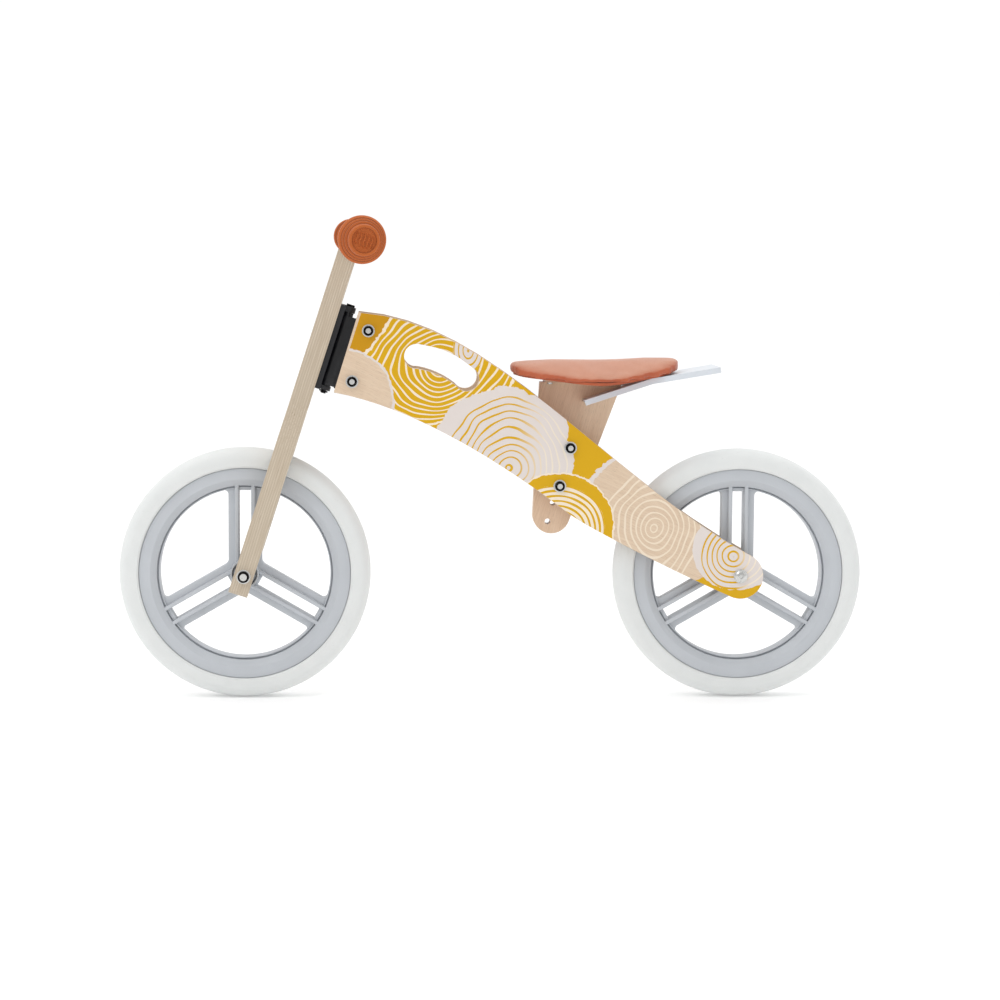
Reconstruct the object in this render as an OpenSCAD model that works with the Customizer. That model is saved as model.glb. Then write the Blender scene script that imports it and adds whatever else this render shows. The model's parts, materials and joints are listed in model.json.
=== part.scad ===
// Wooden balance bike for a small child: two printed plywood side panels, a plywood fork
// on a steering hinge, two foam-tyred wheels, a padded seat on a height-adjustable post.
// Millimetres. +X points to the rear, +Y to the bike's right side, +Z up.
// The origin is on the floor, midway between the two axles.

/* [Wheels] */
// Outside diameter of the tyres
wheel_d = 286; // [270:1:300]
// Distance between the two axles
wheelbase = 564; // [540:1:600]
// Width of the tyres
tyre_w = 44; // [36:1:46]
// Outside diameter of the rims, where the tyre wall starts
rim_d = 240; // [220:1:244]
// Diameter of the open middle of the rims
rim_inner_d = 194; // [180:1:200]
// Width across one pair of spoke bars
spoke_pair_w = 38; // [34:1:44]
// Width of the hubs
hub_w = 50; // [46:1:52]

/* [Side panels] */
// Thickness of each plywood side panel
panel_t = 10; // [8:1:12]
// Clear distance between the two panels, and between the two fork legs
inner_gap = 58; // [58:1:60]
// Radius of the panels' round rear ends
panel_end_r = 26; // [22:1:30]
// Width of the carrying slot
slot_w = 28; // [24:1:32]

/* [Fork and steering] */
// Backward lean of the fork and of the steering axis, in degrees
head_lean = 17.7; // [15:0.1:20]
// Thickness of the fork board
fork_t = 22; // [20:1:24]
// Width of each fork leg
leg_w = 20; // [18:1:24]
// Width of the fork's stem above the wheel
stem_w = 52; // [44:1:54]
// Height of the handlebar above the front axle, along the fork
bar_s = 400.5; // [380:0.5:420]
// Backward sweep of the handlebar's two ends, in degrees
bar_sweep = 8; // [0:1:12]
// Distance of the steering axis behind the middle of the fork
steer_t = 21.5; // [21:0.5:23]
// Diameter of the steering pin
pin_d = 6; // [5:1:7]

/* [Seat] */
// Thickness of the seat post's plank
post_t = 18; // [15:1:20]
// Distance between neighbouring height holes
hole_pitch = 22.4; // [20:0.1:26]
// Width of the seat at its widest
seat_w = 150; // [130:1:160]
// Width of the mudguard
guard_w = 80; // [70:1:90]

/* [Fasteners] */
// Diameter of the frame and seat bolts
bolt_d = 6; // [5:1:6]
// Diameter of the wheel axles
axle_d = 8; // [6:1:8]

/* [Hidden] */

$fn = 64;
gap = 0.05;                         // air between pieces that are fastened together
wheel_r = wheel_d / 2;
axle_x = wheelbase / 2;
panel_y = inner_gap / 2;            // inner face of a panel
panel_out = panel_y + panel_t;      // outer face of a panel
fork_y = inner_gap / 2 + leg_w;     // outer face of a fork leg
half_t = fork_t / 2;
steps = 16;                         // points along each long curve

// Side panel outline in X and Z. Each curve runs between its first and last point.
front_top = [-153.5, 440.5];
front_low = [-181, 350.5];
under_mid = [86, 213.5];
top_end_a = 28;                     // slope of the top edge where it meets the round end
low_end_a = 23.5;                   // slope of the bottom edge there
end_c = [axle_x, wheel_r];
top_end = end_c + panel_end_r * [sin(top_end_a), cos(top_end_a)];
low_end = end_c - panel_end_r * [sin(low_end_a), cos(low_end_a)];
top_edge = [front_top, [0, 432.5], top_end + 187 * [-cos(top_end_a), sin(top_end_a)], top_end];
low_edge_rear = [low_end, low_end + 67 * [-cos(low_end_a), sin(low_end_a)], [108, 197.5], under_mid];
low_edge_front = [under_mid, [14, 268.5], [-88, 334], front_low];
slot_front = [-88, 391.5];          // centre of the carrying slot's front end
slot_rear = [-31.5, 366.5];         // centre of its rear end
slot_arch = 5;                      // how far the slot's middle bows up

// Fork, in its own frame: Y across, S along it from the axle
leg_end_s = -22;
slot_top_s = 126;                   // centre of the round top of the wheel slot
crown_low_s = 150;
crown_top_s = 206;
fork_top_s = 416;
corner_r = 8;

// Steering hinge, along the steering axis from the axle's level
head_t = 31.5;                      // front edge of the side panels
barrel_r = 7;
barrel_low_s = 232.5;
barrel_top_s = 314;
lug_low = [226, 231];
lug_top = [318.5, 325];
plate_t = 3;
head_bolt_t = 49;
head_bolt_s = [246.3, 306.3];
bush_r = 4.5;
lug_clear = 0.25;                   // air between a lug and its bush flange
block_depth = 33;                   // of the block between the panels' front ends
bush_flange_r = 6;
bush_deep = 18;                     // how far a bush reaches into the barrel
bracket_half = 21;                  // half width of the bracket's plate
cheek_deep = 6;                     // how far its side cheeks stand out from the fork
cheek_t = 2.5;
bracket_screw_s = [243, 307];
bracket_screw_y = 14;

// Handlebar
bar_t = -3;                         // middle of the bar in front of the fork's middle
bar_depth = 20;
bar_tall = 30;
bend_y = 62;                        // where the round ends start
bar_r = 10;
bar_screw_y = 14;
bar_end = 112;                      // how far the round ends reach past the bends
grip_from = 12;
grip_end = 129.5;
grip_flange_r = 26;

// Seat post: top edge, then down to the round bottom end
post_top = [[53, 361.8], [147, 361.8]];
post_end_c = [67.2, 209.8];
post_end_r = 21.3;
post_bolt = [86.3, 288.8];          // topmost height hole
post_dir = [-0.261, -0.9653];       // direction of the row of holes
post_holes = 5;
bolted_holes = [0, 2];
hole_r = 3.25;

// Seat
seat_x0 = 18;
seat_x1 = 212;
seat_mid_x = 118;
seat_front_l = seat_mid_x - seat_x0;
seat_rear_l = seat_x1 - seat_mid_x;
seat_low_z = 373.4;                 // underside of the cushion at its middle
seat_thick = 10;
seat_taper = 0.42;                  // how much narrower the ends are than the middle
seat_sag_r = 255;                   // radius of the seat's underside across its width
shell_t = 3;
plate_z = 361.9;
plate_top = 369.4;

// Mudguard, along X and Z
guard_front = [102.5, 340];
guard_bend = [178.7, 364.9];
guard_rear = [256, 378];
guard_t = 3;
guard_lip = 6.3;
guard_screw_x = 185;
guard_head_z = 365.3;               // top of the screw heads under the guard
guard_screw_y = 22;
guard_screw_tip = 373.2;            // tips of the screws that bite into the seat shell
shell_screw_tip = 371.8;

// Fasteners
m6_head_r = 5.6;
m6_head_tall = 3.6;
m6_washer_r = 7.2;
m6_washer_t = 1.2;
m6_nut_tall = 4.6;
m6_tail = 6.5;                      // how far a bolt's end stands out of the panel
axle_head_r = 6.6;
axle_head_tall = 4;
axle_washer_r = 8;
axle_washer_t = 1.4;
axle_nut_r = 6.4;
axle_nut_tall = 4.8;
axle_tail = 6.6;
nut_bevel = 1.2;
axle_hole = axle_d / 2 + gap;
axle_bore = axle_d / 2 + 0.1;       // in the panels and the fork legs
wood_screw_r = 2;
wood_screw_hole = 2.1;
pilot_r = 1.7;                      // holes for the seat screws
seat_screw_r = 1.65;
shell_screw_r = 1.8;

wood = "BurlyWood";
print_colour = "Goldenrod";
foam = "WhiteSmoke";
plastic_grey = "LightGray";
plastic_black = "#202024";
steel = "Silver";
leather = "Peru";

// ---------- helpers ----------

// Point at fraction u along a cubic curve with control points p
function cubic(p, u) = pow(1 - u, 3) * p[0] + 3 * pow(1 - u, 2) * u * p[1]
    + 3 * (1 - u) * u * u * p[2] + pow(u, 3) * p[3];
function curve(p, n = steps) = [for (i = [0 : n - 1]) cubic(p, i / n)];
// Arc of radius r about c from angle a0 to a1, both ends included
function arc(c, r, a0, a1, n) = [for (i = [0 : n]) c + r * [cos(a0 + (a1 - a0) * i / n),
    sin(a0 + (a1 - a0) * i / n)]];
// Smooth step from 0 to 1
function ease(u) = u * u * (3 - 2 * u);
function mirrored(pts) = [for (i = [len(pts) - 1 : -1 : 0]) [-pts[i][0], pts[i][1]]];

// Frame of the fork: X to the rear across it, Z up along it, from the front axle
module at_fork() translate([-axle_x, 0, wheel_r]) rotate([0, head_lean, 0]) children();
// Extrudes an X-Z outline across Y, from y0 to y1
module across(y0, y1) translate([0, y1, 0]) rotate([90, 0, 0]) linear_extrude(y1 - y0) children();
// Round bar along Y
module rod_y(r, y0, y1) translate([0, y0, 0]) rotate([-90, 0, 0]) cylinder(r = r, h = y1 - y0);
module rod_z(r, z0, z1) translate([0, 0, z0]) cylinder(r = r, h = z1 - z0);
module ring_y(r_out, r_in, y0, y1) difference() {
    rod_y(r_out, y0, y1);
    rod_y(r_in, y0 - 1, y1 + 1);
}
// Domed bolt head that starts at y0 and points along Y, in the direction of side
module dome_head(r, tall, y0, side) translate([0, y0, 0]) rotate([-90 * side, 0, 0]) difference() {
    intersection() {
        cylinder(r = r, h = tall);
        translate([0, 0, tall - r * 1.6]) sphere(r = r * 1.6);
    }
    translate([0, 0, tall - 2]) cylinder(r = r * 0.42, h = 3, $fn = 6);
}
module at_xz(p) translate([p[0], 0, p[1]]) children();
module at_head_bolts() at_fork() for (s = head_bolt_s) translate([head_bolt_t, 0, s]) children();
module at_seat_bolts() for (i = bolted_holes) at_xz(post_bolt + i * hole_pitch * post_dir) children();

// ---------- side panels ----------

module panel_outline() polygon(concat(
    curve(top_edge),
    arc(end_c, panel_end_r, 90 - top_end_a, -90 - low_end_a, 24),
    [for (i = [1 : steps]) cubic(low_edge_rear, i / steps)],
    [for (i = [1 : steps]) cubic(low_edge_front, i / steps)]));

// Slightly arched slot with round ends
slot_dir = (slot_rear - slot_front) / norm(slot_rear - slot_front);
slot_normal = [-slot_dir[1], slot_dir[0]];
slot_angle = atan2(slot_dir[1], slot_dir[0]);
function slot_mid(u) = slot_front + (slot_rear - slot_front) * u + slot_normal * slot_arch * 4 * u * (1 - u);
module slot_outline() polygon(concat(
    [for (i = [1 : 7]) slot_mid(i / 8) + slot_normal * slot_w / 2],
    arc(slot_rear, slot_w / 2, slot_angle + 78, slot_angle - 102, 14),
    [for (i = [7 : -1 : 1]) slot_mid(i / 8) - slot_normal * slot_w / 2],
    arc(slot_front, slot_w / 2, slot_angle - 78, slot_angle - 258, 14)));

module side_panel(y0) difference() {
    across(y0, y0 + panel_t) difference() {
        panel_outline();
        slot_outline();
    }
    at_head_bolts() rod_y(hole_r, y0 - 1, y0 + panel_t + 1);
    at_seat_bolts() rod_y(hole_r, y0 - 1, y0 + panel_t + 1);
    at_xz(end_c) rod_y(axle_bore, y0 - 1, y0 + panel_t + 1);
}
module left_side_panel() color(print_colour) side_panel(-panel_out);
module right_side_panel() color(print_colour) side_panel(panel_y);

// ---------- steering hinge ----------

// Barrel round the steering pin, with the neck and the block that fills the panels' front end
module head_block() color(plastic_black) at_fork() difference() {
    union() {
        translate([steer_t, 0, 0]) rod_z(barrel_r, barrel_low_s, barrel_top_s);
        translate([steer_t, -barrel_r, barrel_low_s])
            cube([head_t - steer_t + 2, 2 * barrel_r, barrel_top_s - barrel_low_s]);
        translate([head_t, -panel_y + gap, barrel_low_s])
            cube([block_depth, inner_gap - 2 * gap, barrel_top_s - barrel_low_s]);
    }
    translate([steer_t, 0, 0]) rod_z(bush_r + gap, barrel_low_s - 1, barrel_top_s + 1);
    for (s = head_bolt_s) translate([head_bolt_t, 0, s]) rod_y(hole_r, -panel_out, panel_out);
}
module both_sides() for (side = [-1, 1]) scale([1, side, 1]) children();
// Frame bolt across both panels, with its head on the right
module frame_bolt() {
    rod_y(bolt_d / 2, -panel_out - m6_tail, panel_out + m6_washer_t);
    dome_head(m6_head_r, m6_head_tall, panel_out + m6_washer_t, 1);
}
module frame_washers() both_sides() ring_y(m6_washer_r, bolt_d / 2 + gap, panel_out, panel_out + m6_washer_t);
module head_bolts() color(steel) at_head_bolts() frame_bolt();
module head_washers() color(steel) at_head_bolts() frame_washers();
// Round lock nut on the bike's left side, open so that the bolt's end shows
module lock_nut(out, r, tall, hole) difference() {
    union() {
        rod_y(r, out, out + tall - nut_bevel);
        translate([0, out + tall - nut_bevel, 0]) rotate([-90, 0, 0])
            cylinder(r1 = r, r2 = r - nut_bevel, h = nut_bevel);
    }
    rod_y(hole, out - 1, out + tall + 1);
}
module left_nut(out, r, tall, hole) scale([1, -1, 1]) lock_nut(out, r, tall, hole);
module frame_nut() left_nut(panel_out + m6_washer_t, m6_head_r, m6_nut_tall, bolt_d / 2 + gap);
module head_nuts() color(plastic_black) at_head_bolts() frame_nut();

module steering_bushes() color(plastic_black) at_fork() translate([steer_t, 0, 0]) difference() {
    union() {
        rod_z(bush_r, barrel_low_s, barrel_low_s + bush_deep);
        rod_z(bush_flange_r, lug_low[1] + lug_clear, barrel_low_s);
        rod_z(bush_r, barrel_top_s - bush_deep, barrel_top_s);
        rod_z(bush_flange_r, barrel_top_s, lug_top[0] - lug_clear);
    }
    rod_z(pin_d / 2 + gap, lug_low[0], lug_top[1]);
}
module steering_bracket() color(plastic_black) at_fork() difference() {
    union() {
        translate([half_t, -bracket_half, lug_low[0]])
            cube([plate_t, 2 * bracket_half, lug_top[1] - lug_low[0]]);
        // cheeks that close the view past the barrel
        for (y = [-bracket_half, bracket_half - cheek_t]) translate([half_t, y, lug_low[0]])
            cube([cheek_deep, cheek_t, lug_top[1] - lug_low[0]]);
        for (lug = [lug_low, lug_top]) {
            translate([steer_t, 0, 0]) rod_z(barrel_r, lug[0], lug[1]);
            translate([half_t, -barrel_r, lug[0]]) cube([steer_t - half_t, 2 * barrel_r, lug[1] - lug[0]]);
        }
    }
    translate([steer_t, 0, 0]) rod_z(pin_d / 2 + gap, lug_low[0] - 1, lug_top[1] + 1);
    at_bracket_screws() rotate([0, 90, 0]) cylinder(r = wood_screw_hole, h = plate_t + 2, center = true);
}
module at_bracket_screws() for (s = bracket_screw_s, y = [-bracket_screw_y, bracket_screw_y])
    translate([half_t + plate_t / 2, y, s]) children();
module steering_pin() color(plastic_black) at_fork() translate([steer_t, 0, 0]) {
    rod_z(pin_d / 2, lug_low[0] - 4, lug_top[1]);
    rod_z(pin_d / 2 + 1.8, lug_top[1], lug_top[1] + 2.4);
}
module pin_clip() color(plastic_black) at_fork() translate([steer_t, 0, 0]) difference() {
    rod_z(pin_d / 2 + 2, lug_low[0] - 2.4, lug_low[0] - 0.8);
    rod_z(pin_d / 2 + gap, lug_low[0] - 3, lug_low[0]);
}
module bracket_screws() color(steel) at_fork() at_bracket_screws() rotate([0, 90, 0]) {
    translate([0, 0, plate_t / 2]) cylinder(r1 = 4, r2 = 2.6, h = 2);
    translate([0, 0, -plate_t / 2 - 16]) cylinder(r = wood_screw_r, h = 16 + plate_t);
}

// ---------- fork and handlebar ----------

// Right half of the fork's outline, from the leg's foot up to the top corner
fork_half = concat(
    [[fork_y - 3, leg_end_s], [fork_y, leg_end_s + 3]],
    [for (i = [0 : steps]) [fork_y - (fork_y - stem_w / 2) * ease(i / steps),
        crown_low_s + (crown_top_s - crown_low_s) * i / steps]],
    arc([stem_w / 2 - corner_r, fork_top_s - corner_r], corner_r, 0, 90, 8));
module fork_board() difference() {
    translate([-half_t, 0, 0]) rotate([90, 0, 90]) linear_extrude(fork_t)
        polygon(concat(fork_half, mirrored(fork_half)));
    // slot for the wheel, round at its top
    translate([0, -inner_gap / 2, leg_end_s - 1])
        translate([-half_t - 1, 0, 0]) cube([fork_t + 2, inner_gap, slot_top_s - leg_end_s + 1]);
    translate([-half_t - 1, 0, slot_top_s]) rotate([0, 90, 0]) cylinder(r = inner_gap / 2, h = fork_t + 2);
}
lap_t = bar_t - bar_depth / 2 + 12;  // face where fork and handlebar meet
module fork() color(wood) at_fork() difference() {
    fork_board();
    rod_y(axle_bore, -fork_y - 1, fork_y + 1);
    // rebate that the handlebar is let into
    translate([-half_t - 1, -stem_w / 2 - 1, bar_s - bar_tall / 2 - gap])
        cube([half_t + 1 + lap_t, stem_w + 2, 40]);
    at_bracket_screws() rotate([0, 90, 0]) translate([0, 0, -plate_t / 2 - 17])
        cylinder(r = wood_screw_hole, h = 18);
    at_bar_screws() rotate([0, 90, 0]) translate([0, 0, -2]) cylinder(r = wood_screw_hole, h = 14);
}
module at_bar_screws() for (y = [-bar_screw_y, bar_screw_y]) translate([lap_t, y, bar_s]) children();
// Outline of the handlebar's flat middle, in Y and S
bar_half = [[stem_w / 2 + 2, -bar_tall / 2], [bend_y - 6, -bar_r], [bend_y, -bar_r], [bend_y, bar_r],
    [bend_y - 6, bar_r], [stem_w / 2 + 2, bar_tall / 2]];
module at_bar_end(side) translate([bar_t, side * bend_y, bar_s])
    rotate([0, 0, -side * bar_sweep]) scale([1, side, 1]) children();
module handlebar() color(wood) at_fork() difference() {
    union() {
        translate([bar_t - bar_depth / 2, 0, bar_s]) rotate([90, 0, 90]) linear_extrude(bar_depth)
            polygon(concat(bar_half, mirrored(bar_half)));
        for (side = [-1, 1]) at_bar_end(side) rod_y(bar_r - 0.01, -1.4, bar_end);
    }
    // rebate that laps over the fork
    translate([lap_t - gap, -stem_w / 2 - gap, bar_s - bar_tall])
        cube([20, stem_w + 2 * gap, 2 * bar_tall]);
    at_bar_screws() rotate([0, 90, 0]) translate([0, 0, -14]) cylinder(r = wood_screw_hole, h = 20);
}
module handlebar_screws() color(steel) at_fork() at_bar_screws() rotate([0, 90, 0]) {
    translate([0, 0, -12]) cylinder(r = wood_screw_r, h = 21);
    translate([0, 0, -14.2]) cylinder(r = 4.2, h = 2.2 - gap);
}

// Outline of a grip: distance from the bar's bend, and radius
grip_profile = [[grip_from, bar_r + gap], [grip_from, 18], [grip_from + 1.5, 19.3], [grip_from + 4, 19.3],
    [grip_from + 7, 15.2], [98, 15.2], [101, 19], [103.5, 24.5], [106, grip_flange_r], [110, grip_flange_r],
    [112, 24.6], [112.6, 23.2], [116.5, 22.6], [117, 20.6], [121, 20], [121.4, 17.4], [127.5, 17],
    [grip_end, 15], [grip_end, 0], [113, 0], [113, bar_r + gap]];
module grip(side) at_fork() at_bar_end(side) rotate([-90, 0, 0])
    rotate_extrude($fn = 64) polygon([for (p = grip_profile) [p[1], p[0]]]);
module left_grip() color(leather) grip(-1);
module right_grip() color(leather) grip(1);

// ---------- wheels ----------

// Tyre section: across Y, and out from the axle
bed_r = rim_d / 2 - 6;               // floor of the rim's tyre channel
bed_half = 15.05;                   // half width of that channel
crown_depth = 13;                   // from the top of the tread down to the widest part of the sidewall
crown_power = 2.4;                  // 2 is an ellipse, more is squarer
crown_steps = 10;
// Half width of the tyre against its height: straight sidewall, then a rounded crown
function crown(k) = let (v = k / crown_steps)
    [wheel_r - crown_depth * (1 - pow(1 - pow(1 - v, crown_power), 1 / crown_power)), tyre_w / 2 * (1 - v)];
tyre_half = concat([[bed_r + gap, bed_half - 0.15], [rim_d / 2 + gap, bed_half - 0.15],
    [rim_d / 2 + gap, tyre_w / 2 - 1.6], [rim_d / 2 + 2, tyre_w / 2 - 0.3]],
    [for (k = [0 : crown_steps - 1]) crown(k)]);
module tyre() rotate([90, 0, 0]) rotate_extrude($fn = 128)
    polygon(concat(tyre_half, [[wheel_r, 0]],
        [for (i = [len(tyre_half) - 1 : -1 : 0]) [tyre_half[i][0], -tyre_half[i][1]]]));

rim_face = 18;                      // half width of the rim at its outer face
rim_r = rim_inner_d / 2;
hub_r = 16;
bearing_r = 11;
bearing_w = 7;
core_r = 6.2;
bearing_air = 0.06;                 // between a bearing's turning and fixed rings
cup_depth = 1.5;                    // how far the bearings sit inside the hub's ends
spoke_depth = 7;                    // half depth of a spoke's flat web
rib_depth = 13;                     // half depth of its raised inner rib
web_w = 7.5;
rib_w = 4.5;
spoke_start = 6;                    // where the spokes begin, inside the hub
spoke_root = 4;                     // how far they run into the rim
rim_half = [[rim_r, 10.5], [rim_r + 1.2, 12], [rim_r + 9, rim_face - 0.6], [rim_r + 10.5, rim_face],
    [rim_d / 2 - 0.8, rim_face], [rim_d / 2, rim_face - 0.8], [rim_d / 2, bed_half], [bed_r, bed_half]];
// Outline of the bars of all three spoke pairs, between two distances from each pair's middle line
module spoke_plan(near, far) for (a = [90, 210, 330], side = [-1, 1]) rotate(a)
    translate([spoke_start, side > 0 ? near : -far])
        square([rim_r + spoke_root - spoke_start, far - near]);
module spoke_bars(near, far, depth) rotate([90, 0, 0]) translate([0, 0, -depth])
    linear_extrude(2 * depth) spoke_plan(near, far);
rib_near = spoke_pair_w / 2 - web_w - rib_w;
module rim() difference() {
    union() {
        rotate([90, 0, 0]) rotate_extrude($fn = 128) polygon(concat(rim_half,
            [for (i = [len(rim_half) - 1 : -1 : 0]) [rim_half[i][0], -rim_half[i][1]]]));
        // flat webs outside, raised ribs on the inner side of each bar
        spoke_bars(rib_near + rib_w / 2, spoke_pair_w / 2, spoke_depth);
        spoke_bars(rib_near, rib_near + rib_w, rib_depth);
        rod_y(hub_r, -hub_w / 2, hub_w / 2);
    }
    rod_y(9.5, -hub_w / 2 - 1, hub_w / 2 + 1);
    for (side = [-1, 1]) scale([1, side, 1]) {
        rod_y(bearing_r + gap, hub_w / 2 - bearing_w - cup_depth, hub_w / 2 + 1);
        rod_y(hub_r - 2, hub_w / 2 - cup_depth, hub_w / 2 + 1);
    }
}
bearing_out = hub_w / 2 - cup_depth;      // outer face of a bearing
module bearings() both_sides() ring_y(bearing_r, core_r, bearing_out - bearing_w, bearing_out);
module bearing_cores() both_sides()
    ring_y(core_r - bearing_air, axle_hole, bearing_out - bearing_w, bearing_out);
sleeve_half = bearing_out - bearing_w - gap;
module hub_sleeve() ring_y(core_r - 0.6, axle_hole, -sleeve_half, sleeve_half);
module axle_spacers() both_sides() ring_y(core_r - 0.4, axle_hole, bearing_out + gap, inner_gap / 2 - gap);
// Axle bolt through a fork or frame that is out wide, with its head on the side given
module axle_bolt(out, side) scale([1, side, 1]) {
    rod_y(axle_d / 2, -out - axle_tail, out + axle_washer_t);
    dome_head(axle_head_r, axle_head_tall, out + axle_washer_t, 1);
}
module axle_nut(out, side) scale([1, side, 1])
    lock_nut(out + axle_washer_t, axle_nut_r, axle_nut_tall, axle_hole);
module axle_washers(out) both_sides() ring_y(axle_washer_r, axle_hole, out, out + axle_washer_t);
module at_front_axle() translate([-axle_x, 0, wheel_r]) children();
module at_rear_axle() translate([axle_x, 0, wheel_r]) children();

module front_axle() color(steel) at_front_axle() axle_bolt(fork_y, 1);
module front_axle_nut() color(plastic_black) at_front_axle() axle_nut(fork_y, -1);
module front_axle_washers() color(steel) at_front_axle() axle_washers(fork_y);
module front_axle_spacers() color(steel) at_front_axle() axle_spacers();
module front_tyre() color(foam) at_front_axle() tyre();
module front_rim() color(plastic_grey) at_front_axle() rim();
module front_bearings() color(steel) at_front_axle() bearings();
module front_bearing_cores() color(steel) at_front_axle() bearing_cores();
module front_hub_sleeve() color(steel) at_front_axle() hub_sleeve();

module rear_axle() color(steel) at_rear_axle() axle_bolt(panel_out, -1);
module rear_axle_nut() color(plastic_black) at_rear_axle() axle_nut(panel_out, 1);
module rear_axle_washers() color(steel) at_rear_axle() axle_washers(panel_out);
module rear_axle_spacers() color(steel) at_rear_axle() axle_spacers();
module rear_tyre() color(foam) at_rear_axle() tyre();
module rear_rim() color(plastic_grey) at_rear_axle() rim();
module rear_bearings() color(steel) at_rear_axle() bearings();
module rear_bearing_cores() color(steel) at_rear_axle() bearing_cores();
module rear_hub_sleeve() color(steel) at_rear_axle() hub_sleeve();

// ---------- seat ----------

post_outline = concat(
    [post_top[0], post_top[1]],
    arc(post_end_c, post_end_r, -21.5, -176, 20));
module seat_post() color(wood) difference() {
    across(-post_t / 2, post_t / 2) polygon(post_outline);
    for (i = [0 : post_holes - 1]) at_xz(post_bolt + i * hole_pitch * post_dir)
        rod_y(hole_r, -post_t, post_t);
    at_seat_screws() rod_z(pilot_r, post_top[0][1] - 33, post_top[0][1] + 1);
}
module post_spacers() color(wood) at_seat_bolts() both_sides()
    ring_y(10, hole_r, post_t / 2 + gap, panel_y - gap);
module seat_bolts() color(steel) at_seat_bolts() frame_bolt();
module seat_washers() color(steel) at_seat_bolts() frame_washers();
module seat_nuts() color(plastic_black) at_seat_bolts() frame_nut();

// Seat surfaces. u runs from 0 at the nose to 1 at the rear, v from -1 to 1 across.
function seat_x(u) = seat_x0 + (seat_x1 - seat_x0) * (0.5 - 0.5 * cos(180 * u));
function seat_half(x) = let (
    front = (seat_mid_x - x) / seat_front_l,
    rear = (x - seat_mid_x) / seat_rear_l)
    seat_w / 2 * (x < seat_mid_x
        ? (1 - seat_taper * ease(min(1, front))) * sqrt(max(0, 1 - pow(front, 10)))
        : (1 - seat_taper * ease(min(1, rear))) * sqrt(max(0, 1 - pow(rear, 9))));
function behind(x) = max(0, (x - seat_mid_x) / seat_rear_l);
function seat_under(x, y) = seat_low_z + 5 * pow(behind(x), 2) - y * y / (2 * seat_sag_r);
function seat_crown(x) = seat_low_z + seat_thick + 0.6 * pow((seat_mid_x - x) / seat_front_l, 2)
    + 5.6 * pow(behind(x), 1.6);

rings = 22;
side_pts = 12;
end_trim = 0.012;                   // leaves the closing faces at nose and rear a little width
// How far the crown stands up: full in the middle, falling to nothing at the edge
function swell(u, v) = sqrt(1 - pow(abs(v), 6)) * sqrt(1 - pow(abs(2 * u - 1), 10));
cushion_top = function (x, y, u, v)
    seat_under(x, y) + 1 + (seat_crown(x) - seat_under(x, 0)) * swell(u, v);
shell_drop = shell_t + 0.1;         // from the cushion's underside down to the shell's
shell_top = function (x, y, u, v) seat_under(x, y) - 0.1;
// Closed solid over the seat's plan, scaled in by inset, from drop below the seat's underside to top
module seat_solid(inset, drop, top) {
    upper = [for (i = [0 : rings]) let (u = end_trim + (1 - 2 * end_trim) * i / rings, x = seat_x(u),
        half = max(4, seat_half(x) - inset),
        xs = seat_mid_x + (x - seat_mid_x) * (1 - 2 * inset / (seat_x1 - seat_x0)))
        [for (j = [0 : side_pts]) let (v = -cos(180 * j / side_pts))
            [xs, half * v, top(xs, half * v, u, v)]]];
    lower = [for (row = upper) [for (p = row) [p[0], p[1], seat_under(p[0], p[1]) - drop]]];
    n = side_pts + 1;
    count = (rings + 1) * n;
    points = concat([for (row = upper) each row], [for (row = lower) each row]);
    faces = concat(
        [for (i = [0 : rings - 1], j = [0 : side_pts - 1])
            [i * n + j, (i + 1) * n + j, (i + 1) * n + j + 1, i * n + j + 1]],
        [for (i = [0 : rings - 1], j = [0 : side_pts - 1])
            [count + i * n + j, count + i * n + j + 1,
                count + (i + 1) * n + j + 1, count + (i + 1) * n + j]],
        [for (i = [0 : rings - 1]) [i * n, count + i * n, count + (i + 1) * n, (i + 1) * n]],
        [for (i = [0 : rings - 1]) [i * n + side_pts, (i + 1) * n + side_pts,
            count + (i + 1) * n + side_pts, count + i * n + side_pts]],
        [[for (j = [0 : side_pts]) j, for (j = [side_pts : -1 : 0]) count + j]],
        [[for (j = [side_pts : -1 : 0]) rings * n + j, for (j = [0 : side_pts]) count + rings * n + j]]);
    polyhedron(points, faces, 4);
}
module seat_cushion() color(leather) seat_solid(0, 0, cushion_top);
module seat_shell() color(plastic_black) seat_solid(5, shell_drop, shell_top);
module seat_plate() color(wood) difference() {
    translate([58, -20, plate_z]) cube([84, 40, plate_top - plate_z]);
    at_seat_screws() rod_z(pilot_r, plate_z - 1, plate_top + 1);
    at_shell_screws() rod_z(shell_screw_r + gap, plate_z - 1, plate_top + 1);
}
module at_seat_screws() for (x = [72, 100, 128]) translate([x, 0, 0]) children();
module seat_screws() color(steel) at_seat_screws() rod_z(seat_screw_r, plate_z - 32, plate_top - 0.2);
module at_shell_screws() for (x = [64, 136], y = [-14.5, 14.5]) translate([x, y, 0]) children();
// Screws from below, through the plate and into the moulded shell
module shell_screws() color(steel) at_shell_screws() {
    rod_z(shell_screw_r, plate_z - gap, shell_screw_tip);
    rod_z(3.4, plate_z - gap - 1.8, plate_z - gap);
}

// ---------- mudguard ----------

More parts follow.
